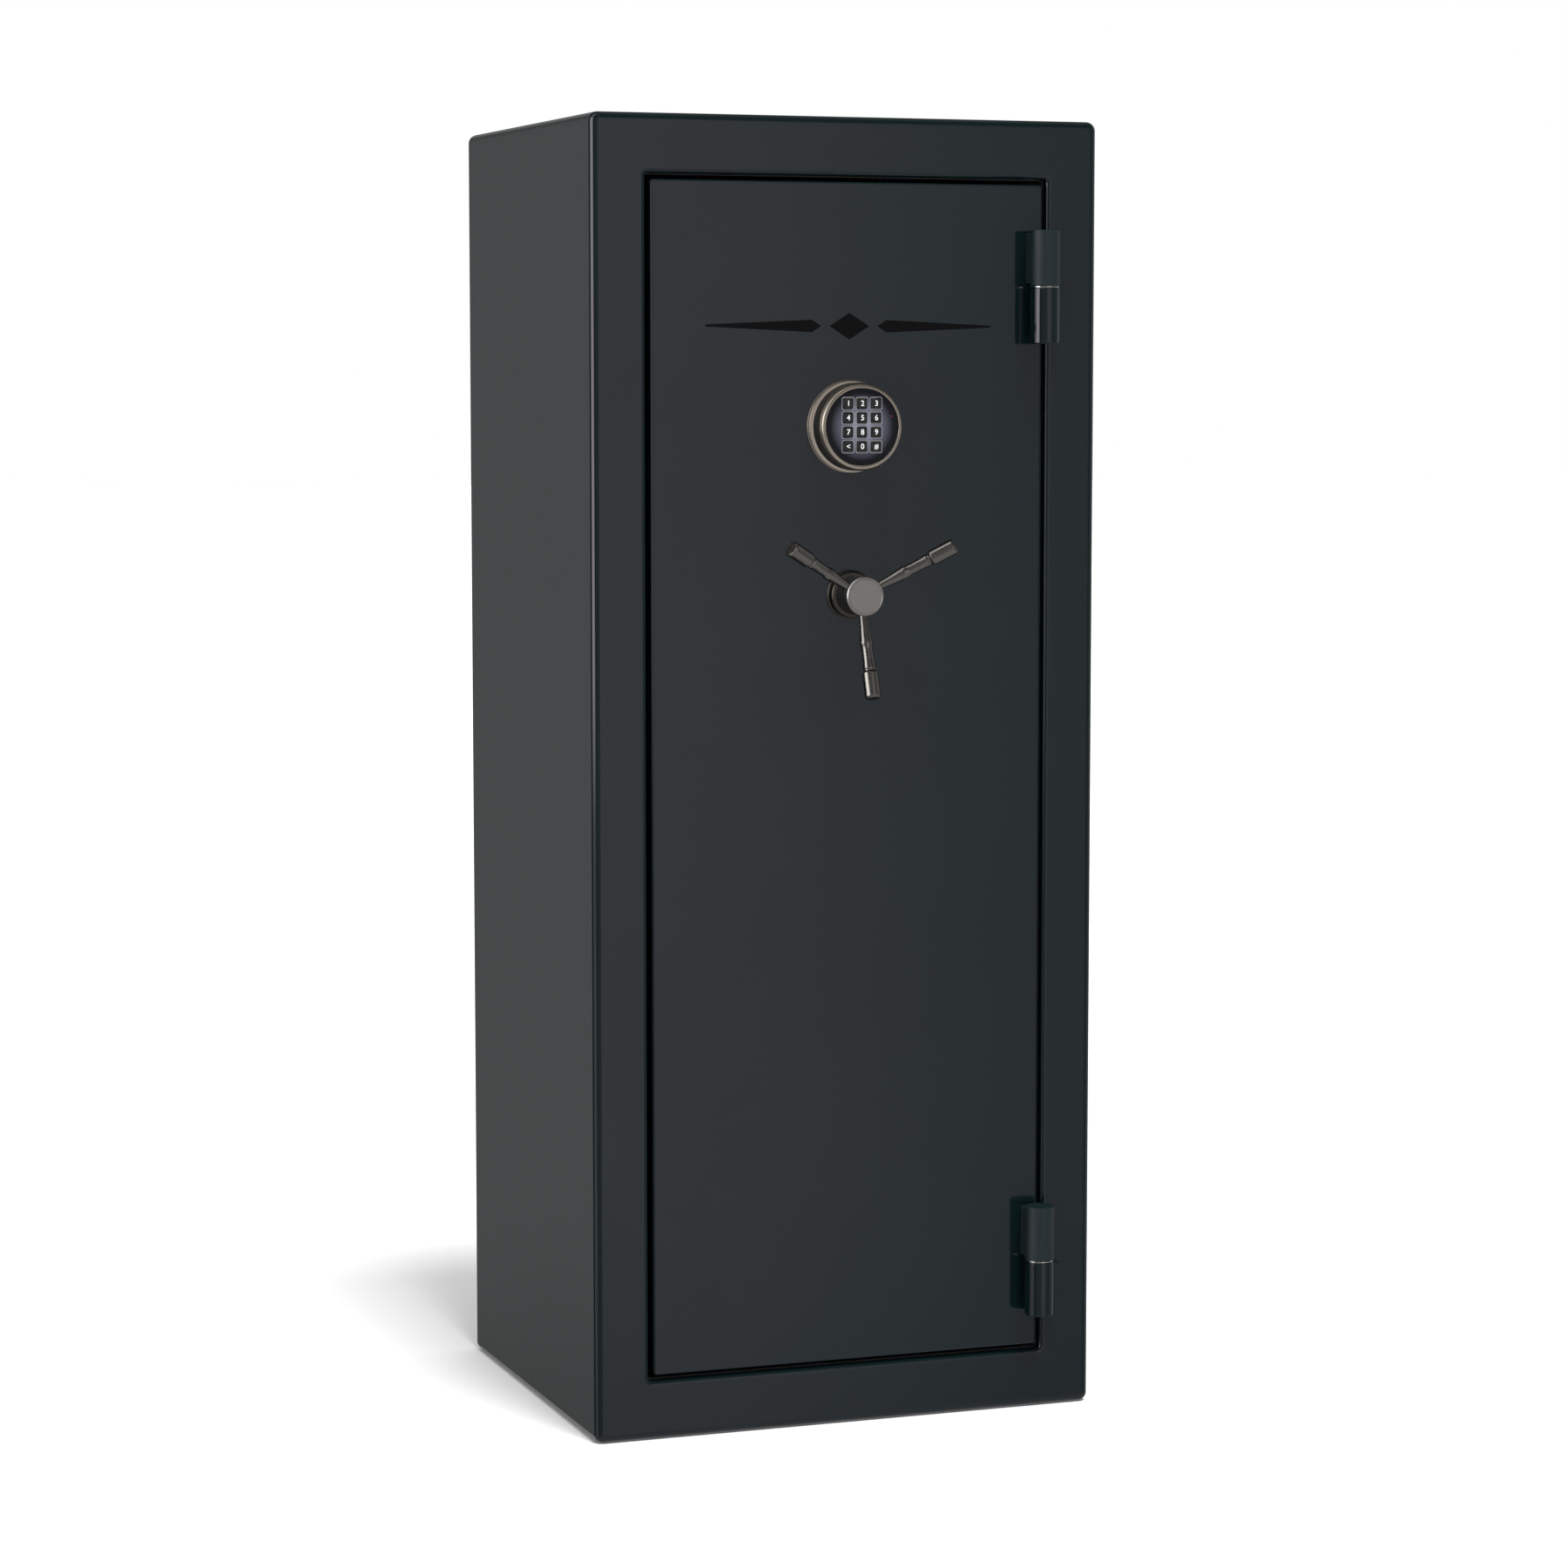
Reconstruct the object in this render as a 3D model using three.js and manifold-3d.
// A free-standing gun safe with one right-hinged door, a three-spoke handle and a round electronic keypad.
// Millimetres, +Z up. The origin is the centre of the underside; the front faces -Y and +X is to the
// right of a person facing the door.
import * as THREE from "three";
import { mergeVertices } from "three/addons/utils/BufferGeometryUtils.js";
import Module from "manifold-3d";

// ---- Driving dimensions -------------------------------------------------------------------------
const WIDTH = 609.6; // outside of the body, side to side
const DEPTH = 508; // outside of the body, front to back
const HEIGHT = 1498.6; // outside of the body
const BODY_SHEET = 2.7; // steel of the body
const BODY_CORNER = 10.5; // radius of the body's corners seen from the front
const BODY_BEND = 10; // radius of the bends between the sides and the front or back
const SIDE_BORDER = 63.5; // width of the front frame beside the door
const TOP_BORDER = 66.6;
const BOTTOM_BORDER = 68.5;
const JAMB_DEPTH = 30; // how far the front frame turns in around the door
const REAR_RIM = 26; // width of the rim around the back panel
const GAP = 0.3; // between pieces that rest on each other

const DOOR_SIDE_GAP = 5.5; // between the door and the frame
const DOOR_END_GAP = 6.5; // above and below the door
const DOOR_PLATE = 4.5; // steel of the door
const JAMB_FOLD = 5.5; // radius where the front frame folds into the doorway
const DOOR_DEPTH = 30; // depth of the door's pan
const DOOR_EDGE = 2.5; // radius of the door's front edge
const DOOR_CORNER = 4; // radius of the door's corners

const FIREBOARD = 30; // thickness of the lining boards
const CARPETED_BOARD = 5; // thickness of the trim boards

const HINGE_INSET = 5.3; // hinge axis from the door's edge
const HINGE_PROUD = 23; // hinge axis in front of the door
const HINGE_RADIUS = 17;
const HINGE_LENGTH = 129;
const HINGE_WASHER = 1.5;
const HINGE_SPLITS = { lower: 180, upper: 1309 }; // height at which each hinge divides

const KEYPAD_HEIGHT = 1151; // centre of the keypad
const KEY_SIZE = 11.6;
const KEY_PITCH_X = 16.8;
const KEY_PITCH_Z = 16.1;
const KEY_GROUP_LIFT = 2; // centre of the key group above the keypad's centre
const KEY_PROUD = 2; // key top in front of the face plate
const KEY_EDGE = 0.6; // chamfer around a key's top

const HANDLE_HEIGHT = 961; // centre of the handle
const HUB_RADIUS = 22.5;
const HUB_FRONT = -54; // front of the hub from the door's face
const SPOKE_LENGTH = 96.5; // from the hub's side to the spoke's end
const SPOKE_STUB = 10; // how far a spoke reaches into the hub
const SPOKE_STUB_RADIUS = 4.5;
const SPOKE_RAKE = THREE.MathUtils.degToRad(19.5); // spokes lean forward by this angle
const SPOKE_ROOT = -45; // where a spoke's axis leaves the hub's side
const SPOKE_TURNS = [60, 180, 300]; // degrees clockwise from straight up

const BOLT_RADIUS = 12.7;
const BOLT_HEIGHTS = [300, 750, 1200];
const BOLT_SETBACK = 50; // bolt centres behind the door's face
const FRAME_INSET = 14.8; // bolt frame inside the door's edge
const FRAME_SHEET = 2.5;
const CRANK_RADIUS = 24; // crank pin from the handle's axis
const CRANK_SWEEP = THREE.MathUtils.degToRad(75); // turn of the handle

// ---- Places worked out from them ----------------------------------------------------------------
const FRONT = -DEPTH / 2;
const BACK = DEPTH / 2;
const HALF_WIDTH = WIDTH / 2;
const OPENING = {
  x: HALF_WIDTH - SIDE_BORDER,
  low: BOTTOM_BORDER,
  high: HEIGHT - TOP_BORDER,
};
const DOOR = {
  x: OPENING.x - DOOR_SIDE_GAP,
  low: OPENING.low + DOOR_END_GAP,
  high: OPENING.high - DOOR_END_GAP,
  back: FRONT + DOOR_DEPTH,
};
const FRAME = {
  x: DOOR.x - FRAME_INSET,
  low: DOOR.low + FRAME_INSET,
  high: DOOR.high - FRAME_INSET,
  front: DOOR.back + GAP,
  back: FRONT + 74,
};
const LINED = {
  x: HALF_WIDTH - BODY_SHEET - GAP - FIREBOARD,
  low: BODY_SHEET + GAP + FIREBOARD,
  high: HEIGHT - BODY_SHEET - GAP - FIREBOARD,
  back: BACK - 39,
};
const TRIM = CARPETED_BOARD + GAP;
const ROOM = {
  x: LINED.x - TRIM,
  low: LINED.low + TRIM,
  high: LINED.high - TRIM,
  front: FRONT + 8,
  back: LINED.back - TRIM,
};
const BOLT_Y = FRONT + BOLT_SETBACK;
const BAR = { left: -175, right: -140, thickness: 4 };

// ---- Solids -------------------------------------------------------------------------------------
const wasm = await Module();
wasm.setup();

const MERGE_DISTANCE = 1e-3;
const FINE = { arcSteps: 4, edgeSteps: 3 }; // straight steps in a corner's arc and in a rounded edge
const COARSE = { arcSteps: 2, edgeSteps: 1 };
const CHAMFERED = { arcSteps: 1, edgeSteps: 1 };

// A closed three.js geometry as a solid that can be cut and joined.
function solidOf(geometry) {
  const bare = geometry.clone();
  bare.deleteAttribute("normal");
  bare.deleteAttribute("uv");
  const merged = mergeVertices(bare, MERGE_DISTANCE);
  const corners = merged.index.array;
  const triangles = [];
  for (let i = 0; i < corners.length; i += 3) {
    const [a, b, c] = corners.slice(i, i + 3);
    if (a !== b && b !== c && c !== a) triangles.push(a, b, c);
  }
  return new wasm.Manifold(
    new wasm.Mesh({
      numProp: 3,
      vertProperties: merged.attributes.position.array,
      triVerts: new Uint32Array(triangles),
    }),
  );
}

function box(x0, x1, y0, y1, z0, z1) {
  const geometry = new THREE.BoxGeometry(x1 - x0, y1 - y0, z1 - z0);
  return solidOf(geometry.translate((x0 + x1) / 2, (y0 + y1) / 2, (z0 + z1) / 2));
}

// A round bar between two points.
function rod(from, to, radius, sides = 24) {
  const start = new THREE.Vector3(...from);
  const along = new THREE.Vector3(...to).sub(start);
  const geometry = new THREE.CylinderGeometry(radius, radius, along.length(), sides);
  geometry.translate(0, along.length() / 2, 0);
  geometry.applyQuaternion(
    new THREE.Quaternion().setFromUnitVectors(new THREE.Vector3(0, 1, 0), along.normalize()),
  );
  return solidOf(geometry.translate(...from));
}

// A turned piece about the Y axis, from a closed outline of [radius, y] points listed from low y to
// high y along its outside.
function turned(outline, sides = 32) {
  return solidOf(
    new THREE.LatheGeometry(
      outline.map(([radius, y]) => new THREE.Vector2(radius, y)),
      sides,
    ),
  );
}

function roundedRectangle(x0, x1, y0, y1, radius) {
  const shape = new THREE.Shape();
  const quarter = Math.PI / 2;
  shape.absarc(x1 - radius, y0 + radius, radius, -quarter, 0);
  shape.absarc(x1 - radius, y1 - radius, radius, 0, quarter);
  shape.absarc(x0 + radius, y1 - radius, radius, quarter, 2 * quarter);
  shape.absarc(x0 + radius, y0 + radius, radius, 2 * quarter, 3 * quarter);
  shape.closePath();
  return shape;
}

// An outline drawn upright (x across, y up), made solid from one depth to another. Its front and
// back edges are rounded where an edge radius is given.
function uprightPlate(shape, front, back, edge = 0, detail = FINE) {
  const geometry = new THREE.ExtrudeGeometry(shape, {
    depth: back - front - 2 * edge,
    curveSegments: detail.arcSteps,
    bevelEnabled: edge > 0,
    bevelThickness: edge,
    bevelSize: edge,
    bevelOffset: -edge,
    bevelSegments: detail.edgeSteps,
  });
  return solidOf(geometry.rotateX(Math.PI / 2).translate(0, back - edge, 0));
}

// An outline drawn in plan (x across, y towards the back), made solid from one height to another.
function levelPlate(shape, low, high, detail = FINE) {
  const geometry = new THREE.ExtrudeGeometry(shape, {
    depth: high - low,
    curveSegments: detail.arcSteps,
    bevelEnabled: false,
  });
  return solidOf(geometry.translate(0, 0, low));
}

// A block whose corners are rounded in the front view, placed by half its width and its heights.
function block({ x, low, high }, grow, corner, front, back, edge = 0) {
  const shape = roundedRectangle(-x - grow, x + grow, low - grow, high + grow, corner);
  return uprightPlate(shape, front, back, edge);
}

// ---- Materials ----------------------------------------------------------------------------------
function material(color, roughness, metalness) {
  return new THREE.MeshStandardMaterial({ color, roughness, metalness });
}

const glossBlack = material(0x2b2f32, 0.18, 0.2);
const primer = material(0x55585a, 0.6, 0.3);
const gypsum = material(0xc9c4b8, 0.95, 0);
const carpet = material(0x6f6a63, 1, 0);
const sealRubber = material(0x1a1a1a, 0.8, 0);
const zincSteel = material(0xaeb0b2, 0.35, 0.9);
const chromeSteel = material(0xd0d2d4, 0.12, 1);
const blackNickel = material(0x77736f, 0.25, 1);
const bronzeNickel = material(0x9a8d78, 0.3, 1);
const keypadBlack = material(0x17181b, 0.35, 0);
const keyRubber = material(0x101012, 0.5, 0);
const lockMetal = material(0xb9a878, 0.4, 0.8);
const batteryJacket = material(0x30353d, 0.4, 0.3);

const safe = new THREE.Group();

// Adds a solid to a group as one named piece.
function addPiece(group, name, solid, look) {
  const found = solid.getMesh();
  const geometry = new THREE.BufferGeometry();
  geometry.setAttribute("position", new THREE.BufferAttribute(found.vertProperties, 3));
  geometry.setIndex(new THREE.BufferAttribute(found.triVerts, 1));
  geometry.computeVertexNormals();
  const piece = new THREE.Mesh(geometry, look);
  piece.name = name;
  group.add(piece);
  return piece;
}

// ---- Body ---------------------------------------------------------------------------------------
const ANCHOR = { x: 200, y: 165, radius: 7 }; // bolt-down holes in the floor

// The four bolt-down holes, from under the floor to the given height.
function anchorHoles(top) {
  const holes = [];
  for (const x of [-ANCHOR.x, ANCHOR.x]) {
    for (const y of [-ANCHOR.y, ANCHOR.y]) {
      holes.push(rod([x, y, -1], [x, y, top], ANCHOR.radius, 16));
    }
  }
  return holes.reduce((joined, hole) => joined.add(hole));
}

// Widens the doorway's front edge into a rounded fold.
function foldCutter() {
  const steps = 4;
  const sliver = 0.01;
  const slices = [block(OPENING, JAMB_FOLD, DOOR_CORNER + JAMB_FOLD, FRONT - 1, FRONT)];
  for (let i = 1; i <= steps; i += 1) {
    const angle = (i / steps) * (Math.PI / 2);
    const grow = JAMB_FOLD * (1 - Math.sin(angle));
    const y = FRONT + JAMB_FOLD * (1 - Math.cos(angle));
    slices.push(block(OPENING, grow, DOOR_CORNER + grow, y - sliver, y));
  }
  return slices
    .slice(1)
    .map((slice, i) => wasm.Manifold.hull([slices[i], slice]))
    .reduce((joined, wedge) => joined.add(wedge));
}

function bodyShell() {
  const outline = { x: HALF_WIDTH, low: 0, high: HEIGHT };
  const sheet = BODY_SHEET;
  const inner = BODY_CORNER - sheet;
  const outside = block(outline, 0, BODY_CORNER, FRONT, BACK, BODY_BEND);
  const inside = block(outline, -sheet, inner, FRONT + sheet, BACK - sheet, BODY_BEND - sheet);
  const doorway = block(OPENING, 0, DOOR_CORNER, FRONT - 1, FRONT + JAMB_DEPTH + 1);
  const jamb = block(OPENING, sheet, DOOR_CORNER + sheet, FRONT + sheet / 2, FRONT + JAMB_DEPTH);
  const window = block(outline, -REAR_RIM, BODY_CORNER, BACK - sheet - 1, BACK + 1);
  return outside
    .subtract(inside)
    .subtract(window)
    .add(jamb)
    .subtract(doorway)
    .subtract(foldCutter())
    .subtract(anchorHoles(2 * sheet));
}

function fireboardSleeve() {
  const outline = { x: HALF_WIDTH, low: 0, high: HEIGHT };
  const front = FRONT + 10;
  const back = BACK - 9;
  const inset = BODY_SHEET + GAP;
  return block(outline, -inset, BODY_CORNER - inset, front, back)
    .subtract(box(-LINED.x, LINED.x, front - 1, back + 1, LINED.low, LINED.high))
    .subtract(anchorHoles(LINED.low + 1));
}

function addBody() {
  const body = new THREE.Group();
  const rimBack = BACK - BODY_SHEET - GAP;
  const boardBack = BACK - 9;
  const panelInset = 12;
  const panelHalf = HALF_WIDTH - panelInset;
  addPiece(body, "body_shell", bodyShell(), glossBlack);
  addPiece(
    body,
    "back_panel",
    box(-panelHalf, panelHalf, rimBack - BODY_SHEET, rimBack, panelInset, HEIGHT - panelInset),
    glossBlack,
  );
  addPiece(body, "fireboard_sleeve", fireboardSleeve(), gypsum);
  addPiece(
    body,
    "fireboard_back",
    box(-LINED.x + GAP, LINED.x - GAP, LINED.back, boardBack, LINED.low + GAP, LINED.high - GAP),
    gypsum,
  );
  addTrimBoards(body);
  addPiece(body, "door_seal", doorSeal(), sealRubber);
  safe.add(body);
}

// Carpeted boards that cover the fireboard inside.
function addTrimBoards(body) {
  const { x, low, high, front, back } = ROOM;
  const outerX = LINED.x - GAP;
  const rear = LINED.back - GAP;
  const floor = box(-outerX, outerX, front, rear, LINED.low + GAP, low).subtract(anchorHoles(low + 1));
  const ceiling = box(-outerX, outerX, front, rear, high, LINED.high - GAP);
  const sideLow = low + GAP;
  const sideHigh = high - GAP;
  addPiece(body, "liner_floor", floor, carpet);
  addPiece(body, "liner_ceiling", ceiling, carpet);
  addPiece(body, "liner_left", box(-outerX, -x, front, rear, sideLow, sideHigh), carpet);
  addPiece(body, "liner_right", box(x, outerX, front, rear, sideLow, sideHigh), carpet);
  addPiece(body, "liner_back", box(-x + GAP, x - GAP, back, rear, sideLow, sideHigh), carpet);
}

// A thin heat-expanding strip around the inside of the jamb.
function doorSeal() {
  const thickness = 1.2;
  const front = FRONT + 12;
  const back = FRONT + 24;
  return block(OPENING, -GAP / 2, DOOR_CORNER, front, back).subtract(
    block(OPENING, -GAP / 2 - thickness, DOOR_CORNER - thickness, front - 1, back + 1),
  );
}

// ---- Furniture inside ---------------------------------------------------------------------------
const SHELF = { low: 1130, thickness: 16, front: -100, back: 205 };
const RACK = { low: 975, thickness: 18, front: 120, notch: 19, pitch: 68, count: 7 };
const REST = { height: 22, front: 85, wellWidth: 50, wellDepth: 12 };

// Places along a row of gun positions, centred on the safe.
function gunPlaces() {
  return Array.from({ length: RACK.count }, (_, i) => (i - (RACK.count - 1) / 2) * RACK.pitch);
}

function barrelRack() {
  const half = ROOM.x - 12;
  const shape = new THREE.Shape();
  shape.moveTo(-half, ROOM.back - GAP);
  shape.lineTo(-half, RACK.front);
  for (const x of gunPlaces()) shape.absarc(x, RACK.front, RACK.notch, Math.PI, 0, true);
  shape.lineTo(half, RACK.front);
  shape.lineTo(half, ROOM.back - GAP);
  shape.closePath();
  return levelPlate(shape, RACK.low, RACK.low + RACK.thickness);
}

function stockRest() {
  const half = ROOM.x - 12;
  const low = ROOM.low + GAP;
  const top = low + REST.height;
  const back = ROOM.back - GAP;
  let rest = box(-half, half, REST.front, back, low, top);
  for (const x of gunPlaces()) {
    const side = REST.wellWidth / 2;
    const well = roundedRectangle(x - side, x + side, REST.front + 10, back - 10, side / 2);
    rest = rest.subtract(levelPlate(well, top - REST.wellDepth, top + 1, COARSE));
  }
  return rest;
}

// An angle strip screwed to a side wall under the shelf; side is -1 for left and 1 for right.
function shelfRail(side) {
  const wall = side * (ROOM.x - GAP);
  const top = SHELF.low - GAP;
  const drop = 26;
  const reach = 18;
  const sheet = 2;
  const ordered = (a, b) => [Math.min(a, b), Math.max(a, b)];
  const upright = ordered(wall, wall - side * sheet);
  const ledge = ordered(wall, wall - side * reach);
  return box(...upright, SHELF.front + 10, SHELF.back - 10, top - drop, top).add(
    box(...ledge, SHELF.front + 10, SHELF.back - 10, top - sheet, top),
  );
}

function addFurniture() {
  const furniture = new THREE.Group();
  const shelfHalf = ROOM.x - 2;
  const { low, thickness, front, back } = SHELF;
  const board = roundedRectangle(-shelfHalf, shelfHalf, front, back, 6);
  addPiece(furniture, "shelf", levelPlate(board, low, low + thickness), carpet);
  addPiece(furniture, "shelf_rail_left", shelfRail(-1), zincSteel);
  addPiece(furniture, "shelf_rail_right", shelfRail(1), zincSteel);
  addPiece(furniture, "barrel_rack", barrelRack(), carpet);
  addPiece(furniture, "stock_rest", stockRest(), carpet);
  safe.add(furniture);
}

// ---- Hinges -------------------------------------------------------------------------------------
const PIN_RADIUS = 6;
const PIN_REACH = 48; // the pin from the hinge's middle into each knuckle

// One barrel of a hinge with the block that welds it on. Its axis is the group's Z axis; "inner" is
// the end at the hinge's middle. The foot spans footLeft to footRight and reaches the steel behind.
function knuckle(inner, outer, footLeft, footRight) {
  const low = Math.min(inner, outer);
  const high = Math.max(inner, outer);
  const inwards = Math.sign(inner - outer);
  const foot = box(footLeft, footRight, 0, HINGE_PROUD - GAP, low + 3, high - 3);
  const bore = rod([0, 0, inner + inwards], [0, 0, inner - inwards * PIN_REACH], PIN_RADIUS + GAP);
  return rod([0, 0, low], [0, 0, high], HINGE_RADIUS, 36).add(foot).subtract(bore);
}

function addHinge(place, height) {
  const hinge = new THREE.Group();
  hinge.position.set(DOOR.x - HINGE_INSET, FRONT - HINGE_PROUD, height);
  const middle = HINGE_WASHER / 2;
  const end = HINGE_LENGTH / 2;
  const washer = rod([0, 0, -middle], [0, 0, middle], HINGE_RADIUS - 0.5, 36).subtract(
    rod([0, 0, -HINGE_WASHER], [0, 0, HINGE_WASHER], PIN_RADIUS + GAP),
  );
  const pinEnd = PIN_REACH - 2;
  const seated = middle + GAP;
  addPiece(hinge, `hinge_${place}_door_knuckle`, knuckle(seated, end, -15, 0), glossBlack);
  addPiece(hinge, `hinge_${place}_body_knuckle`, knuckle(-seated, -end, 12.5, 26), glossBlack);
  addPiece(hinge, `hinge_${place}_washer`, washer, chromeSteel);
  addPiece(hinge, `hinge_${place}_pin`, rod([0, 0, -pinEnd], [0, 0, pinEnd], PIN_RADIUS), zincSteel);
  safe.add(hinge);
}

// ---- Door ---------------------------------------------------------------------------------------
const SPINDLE_RADIUS = 7;
const SPINDLE_HOLE = 9;
const CABLE_HOLE = 6;
const HARD_PLATE = { half: 60, low: 1085, high: 1215, thickness: 5 };

// Holes through the door for the handle's spindle and the keypad's cable.
function doorHoles(clearance) {
  const front = FRONT - 1;
  const back = FRAME.back;
  const hole = (z, radius) => rod([0, front, z], [0, back, z], radius + clearance);
  return hole(HANDLE_HEIGHT, SPINDLE_HOLE).add(hole(KEYPAD_HEIGHT, CABLE_HOLE));
}

function doorSkin() {
  const overrun = 2 * DOOR_EDGE;
  const outside = block(DOOR, 0, DOOR_CORNER, FRONT, DOOR.back + overrun, DOOR_EDGE);
  const trim = box(-WIDTH, WIDTH, DOOR.back, BACK, 0, HEIGHT);
  const pocket = block(DOOR, -DOOR_PLATE, 1, FRONT + DOOR_PLATE, DOOR.back + 1);
  return outside.subtract(trim).subtract(pocket).subtract(doorHoles(0));
}

function hardPlate(clearance) {
  const { half, low, high, thickness } = HARD_PLATE;
  const front = FRONT + DOOR_PLATE + GAP;
  return box(
    -half - clearance,
    half + clearance,
    front - clearance,
    front + thickness + clearance,
    low - clearance,
    high + clearance,
  ).subtract(doorHoles(0));
}

function doorFireboard() {
  const board = block(DOOR, -DOOR_PLATE - GAP, 1, FRONT + DOOR_PLATE + GAP, DOOR.back);
  return board.subtract(doorHoles(1)).subtract(hardPlate(GAP));
}

// The steel frame behind the door that guides the bolts.
function boltFrame() {
  const { front, back } = FRAME;
  const ring = block(FRAME, 0, 3, front, back).subtract(
    block(FRAME, -FRAME_SHEET, 1, front + FRAME_SHEET, back + 1),
  );
  const window = block(FRAME, -28, 6, front - 1, front + FRAME_SHEET + 1);
  const holes = BOLT_HEIGHTS.map((z) =>
    rod([-FRAME.x - 1, BOLT_Y, z], [FRAME.x + 1, BOLT_Y, z], BOLT_RADIUS + 2 * GAP, 16),
  );
  return holes.reduce((frame, hole) => frame.subtract(hole), ring.subtract(window));
}

// A locking bolt along X with a chamfered tip. Its root is at x = 0 and its tip is at the given
// distance, which is negative for a bolt that points left.
function lockingBolt(tip) {
  const chamfer = 2;
  const nose = Math.sign(tip);
  const outline = [
    [0, 0],
    [BOLT_RADIUS, 0],
    [BOLT_RADIUS, Math.abs(tip) - chamfer],
    [BOLT_RADIUS - chamfer, Math.abs(tip)],
    [0, Math.abs(tip)],
  ];
  const bolt = turned(outline, 24);
  return bolt.rotate([0, 0, -90 * nose]);
}

function addDoor() {
  const door = new THREE.Group();
  addPiece(door, "door_skin", doorSkin(), glossBlack);
  addPiece(door, "door_fireboard", doorFireboard(), gypsum);
  addPiece(door, "hard_plate", hardPlate(0), zincSteel);
  addPiece(door, "bolt_frame", boltFrame(), primer);
  const panel = block(FRAME, 0, 6, FRAME.back + GAP, FRAME.back + GAP + 8);
  addPiece(door, "door_inner_panel", panel, carpet);
  const boltRoot = 190;
  const boltTip = 250;
  BOLT_HEIGHTS.forEach((z, i) => {
    const bolt = addPiece(door, `dead_bolt_${i + 1}`, lockingBolt(boltTip - boltRoot), chromeSteel);
    bolt.position.set(boltRoot, BOLT_Y, z);
  });
  safe.add(door);
}

// ---- Boltwork and lock --------------------------------------------------------------------------
const CRANK_START = CRANK_SWEEP / 2; // crank pin's angle right of straight up, bolts drawn back
const CRANK_PIN = {
  x: CRANK_RADIUS * Math.sin(CRANK_START),
  z: HANDLE_HEIGHT + CRANK_RADIUS * Math.cos(CRANK_START),
  radius: 4,
};
const LOCK = { half: 30, low: 1105, high: 1190, depth: 30, boltHalf: 10, boltThickness: 8 };
const LUG = { left: 10.8, width: 6, armLow: 1068, armHigh: 1090 };

// The carrier plate: an upright bar, an arm with the crank's slot and an arm with the lock's lug.
function boltBar() {
  const front = BOLT_Y - BAR.thickness / 2;
  const back = BOLT_Y + BAR.thickness / 2;
  const low = BOLT_HEIGHTS[0] - 30;
  const high = BOLT_HEIGHTS[2] + 30;
  const slotHalf = CRANK_PIN.radius + 0.7;
  const slotLow = CRANK_PIN.z - CRANK_PIN.radius - 2;
  const slotHigh = HANDLE_HEIGHT + CRANK_RADIUS + CRANK_PIN.radius + 2;
  const slot = roundedRectangle(
    CRANK_PIN.x - slotHalf,
    CRANK_PIN.x + slotHalf,
    slotLow,
    slotHigh,
    slotHalf - 0.1,
  );
  const crankArm = box(BAR.right - 1, CRANK_PIN.x + 20, front, back, slotLow - 10, slotHigh + 10);
  const lockArm = box(BAR.right - 1, LUG.left + LUG.width, front, back, LUG.armLow, LUG.armHigh);
  const lug = box(LUG.left, LUG.left + LUG.width, front, back, LUG.armHigh - 1, LOCK.low - 1.5);
  return box(BAR.left, BAR.right, front, back, low, high)
    .add(crankArm)
    .add(lockArm)
    .add(lug)
    .subtract(uprightPlate(slot, front - 1, back + 1));
}

function lockCase() {
  const front = FRAME.front;
  const shape = roundedRectangle(-LOCK.half, LOCK.half, LOCK.low, LOCK.high, 3);
  const pocketHalf = LOCK.boltHalf + GAP;
  const pocketY = LOCK.boltThickness / 2 + GAP;
  const pocket = box(
    -pocketHalf,
    pocketHalf,
    BOLT_Y - pocketY,
    BOLT_Y + pocketY,
    LOCK.low - 1,
    LOCK.low + 46,
  );
  return uprightPlate(shape, front, front + LOCK.depth).subtract(pocket);
}

function addBoltwork() {
  const boltwork = new THREE.Group();
  const tip = -49;
  addPiece(boltwork, "bolt_bar", boltBar(), zincSteel);
  BOLT_HEIGHTS.forEach((z, i) => {
    const bolt = addPiece(boltwork, `live_bolt_${i + 1}`, lockingBolt(tip), chromeSteel);
    bolt.position.set(BAR.left - GAP, BOLT_Y, z);
  });
  const { boltHalf, boltThickness, low } = LOCK;
  const halfThickness = boltThickness / 2;
  const lockBolt = box(
    -boltHalf,
    boltHalf,
    BOLT_Y - halfThickness,
    BOLT_Y + halfThickness,
    low - 0.5,
    low + 40,
  );
  addPiece(boltwork, "lock_case", lockCase(), lockMetal);
  addPiece(boltwork, "lock_bolt", lockBolt, zincSteel);
  safe.add(boltwork);
}

// ---- Handle -------------------------------------------------------------------------------------
const COLLAR_FRONT = -15;
const CAM = { front: 36, back: 43, radius: 31 }; // from the door's face

function handleCollar() {
  const foot = -GAP;
  const bore = SPINDLE_RADIUS + 1;
  return turned([
    [bore, COLLAR_FRONT],
    [24.5, COLLAR_FRONT],
    [26, COLLAR_FRONT + 1.5],
    [26, -5],
    [28, -3],
    [28, foot],
    [bore, foot],
    [bore, COLLAR_FRONT],
  ]);
}

// A spoke's own axis is Y, from its root in the hub to its rounded end.
function spoke() {
  const end = SPOKE_LENGTH;
  return turned(
    [
      [0, -SPOKE_STUB],
      [SPOKE_STUB_RADIUS, -SPOKE_STUB],
      [SPOKE_STUB_RADIUS, 1],
      [5.6, 12],
      [7.5, 32],
      [6.2, 38],
      [6.4, 50],
      [7.4, 61],
      [6.5, 64],
      [9.2, 67],
      [9.2, end - 2.5],
      [7.6, end],
      [0, end],
    ],
    16,
  );
}

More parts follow.
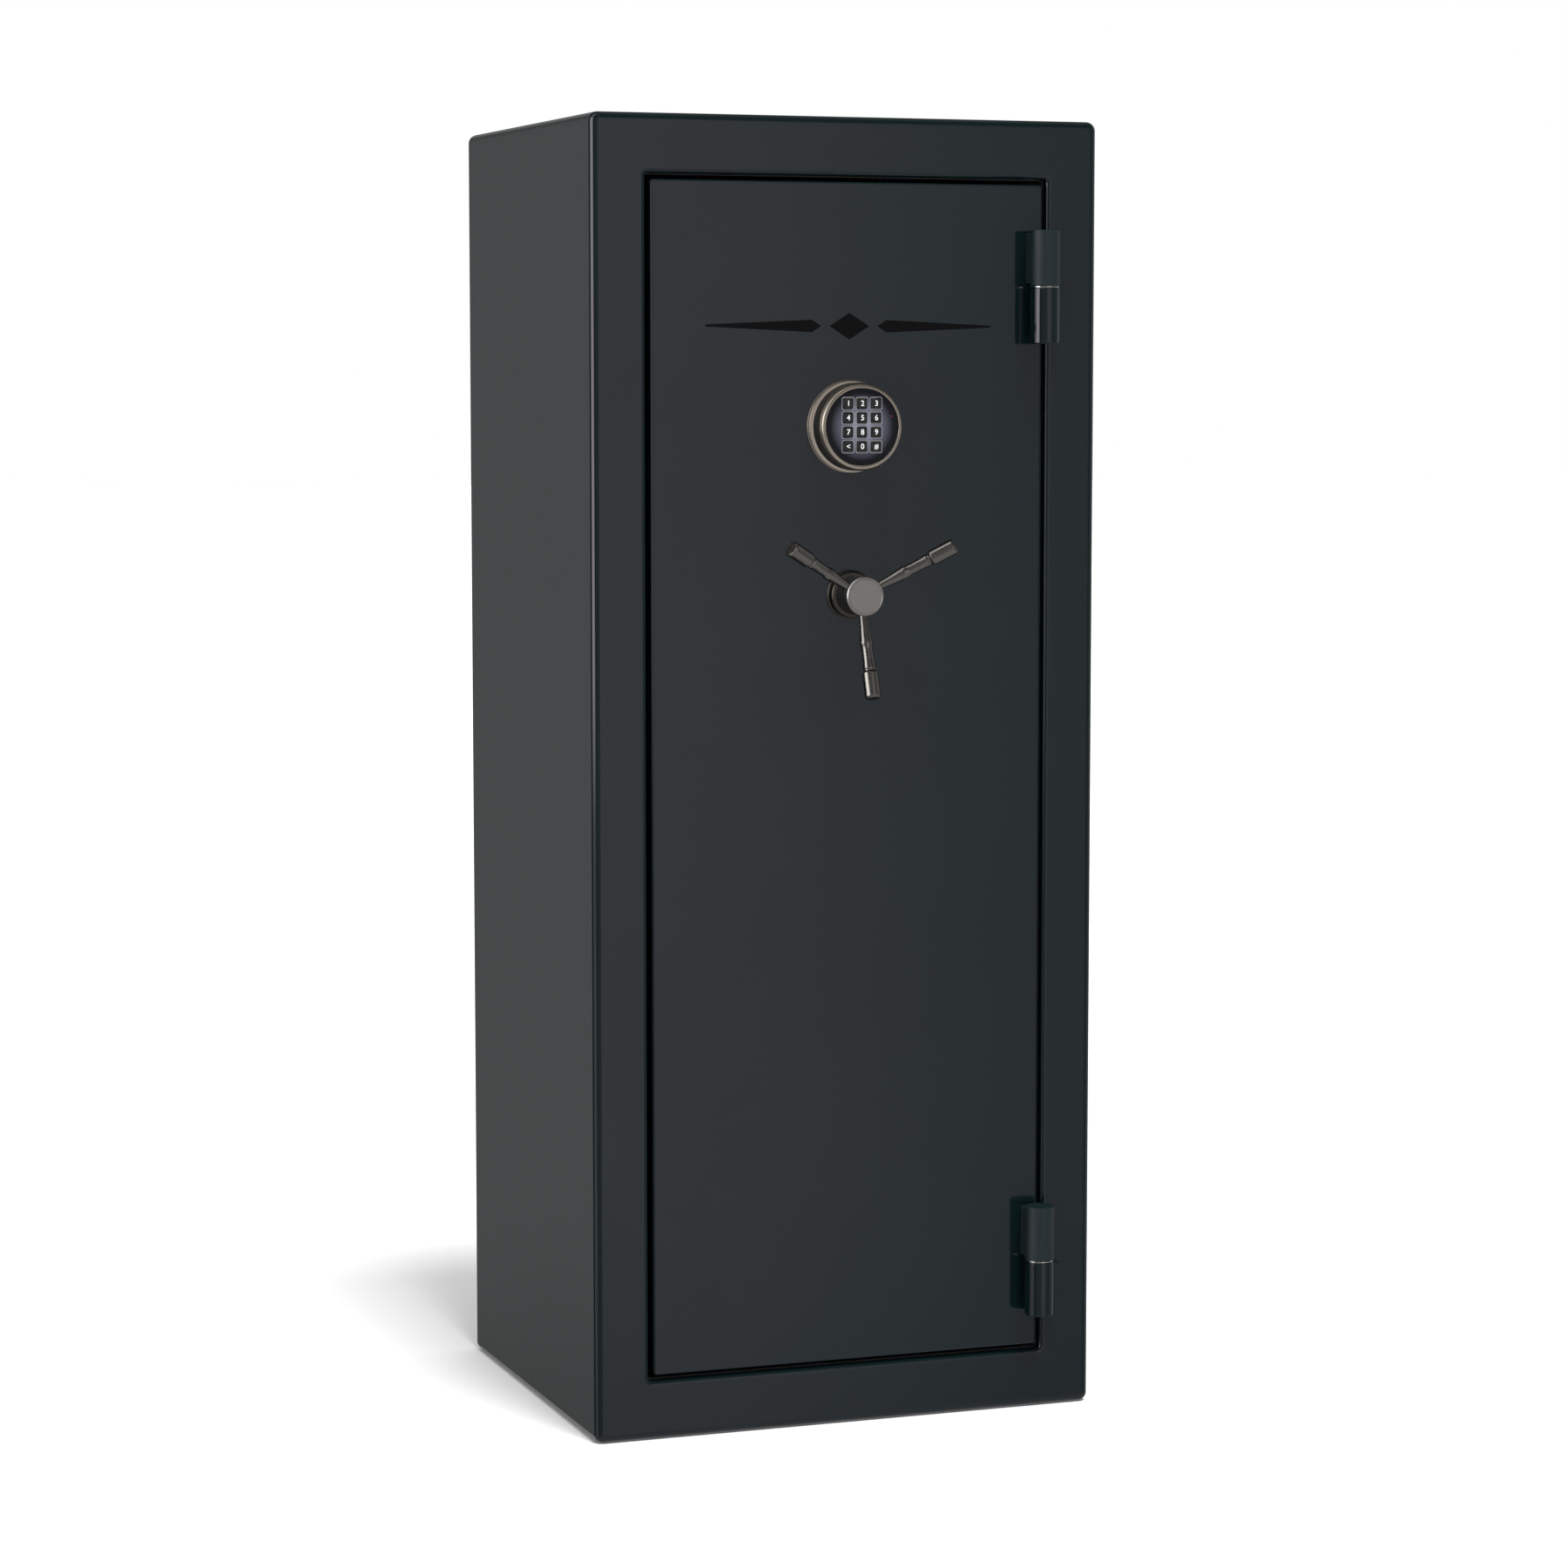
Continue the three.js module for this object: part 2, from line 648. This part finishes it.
// Turns and moves an object from the handle's axis to a spoke's place on the hub.
function placeSpoke(object, clockwise) {
  const turn = THREE.MathUtils.degToRad(clockwise);
  const outwards = new THREE.Vector3(Math.sin(turn), 0, Math.cos(turn));
  const along = outwards.clone().multiplyScalar(Math.cos(SPOKE_RAKE));
  along.y = -Math.sin(SPOKE_RAKE);
  object.quaternion.setFromUnitVectors(new THREE.Vector3(0, 1, 0), along);
  object.position.copy(outwards.multiplyScalar(HUB_RADIUS));
  object.position.y = SPOKE_ROOT;
  return along;
}

function handleHub() {
  const back = COLLAR_FRONT - 0.6;
  const bore = SPINDLE_RADIUS + GAP;
  const boreEnd = HUB_FRONT + 12;
  let hub = turned([
    [0, HUB_FRONT],
    [HUB_RADIUS - 2, HUB_FRONT],
    [HUB_RADIUS, HUB_FRONT + 2],
    [HUB_RADIUS, back - 2],
    [HUB_RADIUS - 1.5, back],
    [bore, back],
    [bore, boreEnd],
    [0, boreEnd],
  ]);
  for (const clockwise of SPOKE_TURNS) {
    const marker = new THREE.Object3D();
    const along = placeSpoke(marker, clockwise);
    const outer = marker.position.clone().addScaledVector(along, 8);
    const inner = marker.position.clone().addScaledVector(along, -SPOKE_STUB - GAP);
    hub = hub.subtract(rod(inner.toArray(), outer.toArray(), SPOKE_STUB_RADIUS + GAP, 16));
  }
  return hub;
}

// The crank on the spindle's inner end, with the pin that drives the bolt bar.
function driveCam() {
  const pin = [CRANK_PIN.x, CAM.back - 1, CRANK_PIN.z - HANDLE_HEIGHT];
  const pinEnd = [pin[0], BOLT_SETBACK + 7, pin[2]];
  const bore = rod([0, CAM.front - 1, 0], [0, CAM.back + 1, 0], SPINDLE_RADIUS + GAP);
  return rod([0, CAM.front, 0], [0, CAM.back, 0], CAM.radius, 36)
    .subtract(bore)
    .add(rod(pin, pinEnd, CRANK_PIN.radius, 20));
}

function addHandle() {
  const handle = new THREE.Group();
  handle.position.set(0, FRONT, HANDLE_HEIGHT);
  const spindle = rod([0, HUB_FRONT + 13, 0], [0, CAM.back, 0], SPINDLE_RADIUS);
  addPiece(handle, "handle_collar", handleCollar(), blackNickel);
  addPiece(handle, "handle_hub", handleHub(), blackNickel);
  addPiece(handle, "handle_spindle", spindle, zincSteel);
  addPiece(handle, "drive_cam", driveCam(), zincSteel);
  SPOKE_TURNS.forEach((clockwise, i) => {
    placeSpoke(addPiece(handle, `handle_spoke_${i + 1}`, spoke(), blackNickel), clockwise);
  });
  safe.add(handle);
}

// ---- Keypad -------------------------------------------------------------------------------------
const KEYPAD = { flangeRadius: 52.5, ringRadius: 49.5, faceRadius: 43.5, front: -43, face: -40.5 };
const FACE_THICKNESS = 2;
const KEY_NAMES = [
  ["key_1", "key_2", "key_3"],
  ["key_4", "key_5", "key_6"],
  ["key_7", "key_8", "key_9"],
  ["key_back", "key_0", "key_enter"],
];

// Centre of a key from the keypad's centre, for a column and row counted from the top left.
function keyPlace(column, row) {
  return [(column - 1) * KEY_PITCH_X, (1.5 - row) * KEY_PITCH_Z + KEY_GROUP_LIFT];
}

function keypadBase() {
  const { flangeRadius } = KEYPAD;
  const front = -14;
  return turned([
    [CABLE_HOLE, front],
    [46, front],
    [46, -11],
    [flangeRadius - 0.8, -11],
    [flangeRadius, -10],
    [flangeRadius, -1],
    [flangeRadius - 1, -GAP],
    [CABLE_HOLE, -GAP],
    [CABLE_HOLE, front],
  ]);
}

// The housing: a bowl that opens forwards, with a rounded bezel around the face plate.
function keypadHousing() {
  const { ringRadius, faceRadius, front, face } = KEYPAD;
  const seat = face + FACE_THICKNESS + GAP;
  const back = -14 - GAP;
  const well = faceRadius - 2;
  return turned([
    [0, -17],
    [well, -17],
    [well, seat],
    [faceRadius + GAP, seat],
    [faceRadius + GAP, front],
    [faceRadius + 1.2, front],
    [ringRadius - 2.2, front + 3],
    [ringRadius, front + 8],
    [ringRadius, back - 3],
    [ringRadius - 2, back],
    [0, back],
  ]);
}

function keypadFace() {
  const { face, faceRadius } = KEYPAD;
  const half = KEY_SIZE / 2 + 0.4;
  let plate = rod([0, face, 0], [0, face + FACE_THICKNESS, 0], faceRadius, 48);
  KEY_NAMES.forEach((names, row) =>
    names.forEach((_, column) => {
      const [x, z] = keyPlace(column, row);
      const hole = roundedRectangle(x - half, x + half, z - half, z + half, 1.5);
      const cutter = uprightPlate(hole, face - 1, face + FACE_THICKNESS + 1, 0, CHAMFERED);
      plate = plate.subtract(cutter);
    }),
  );
  return plate;
}

function addKeypad() {
  const keypad = new THREE.Group();
  keypad.position.set(0, FRONT, KEYPAD_HEIGHT);
  const half = KEY_SIZE / 2;
  const keyOutline = roundedRectangle(-half, half, -half, half, 2.2);
  const keyBack = FACE_THICKNESS + 1;
  addPiece(keypad, "keypad_base", keypadBase(), bronzeNickel);
  addPiece(keypad, "keypad_housing", keypadHousing(), bronzeNickel);
  addPiece(keypad, "keypad_face", keypadFace(), keypadBlack);
  addPiece(keypad, "battery", box(-13, 13, -27, -17 - GAP, -24, 24), batteryJacket);
  KEY_NAMES.forEach((names, row) =>
    names.forEach((name, column) => {
      const [x, z] = keyPlace(column, row);
      const solid = uprightPlate(keyOutline, -KEY_PROUD, keyBack, KEY_EDGE, CHAMFERED);
      const key = addPiece(keypad, name, solid, keyRubber);
      key.position.set(x, KEYPAD.face, z);
    }),
  );
  safe.add(keypad);
}

addBody();
addFurniture();
for (const [place, height] of Object.entries(HINGE_SPLITS)) addHinge(place, height);
addDoor();
addBoltwork();
addHandle();
addKeypad();

export default safe;
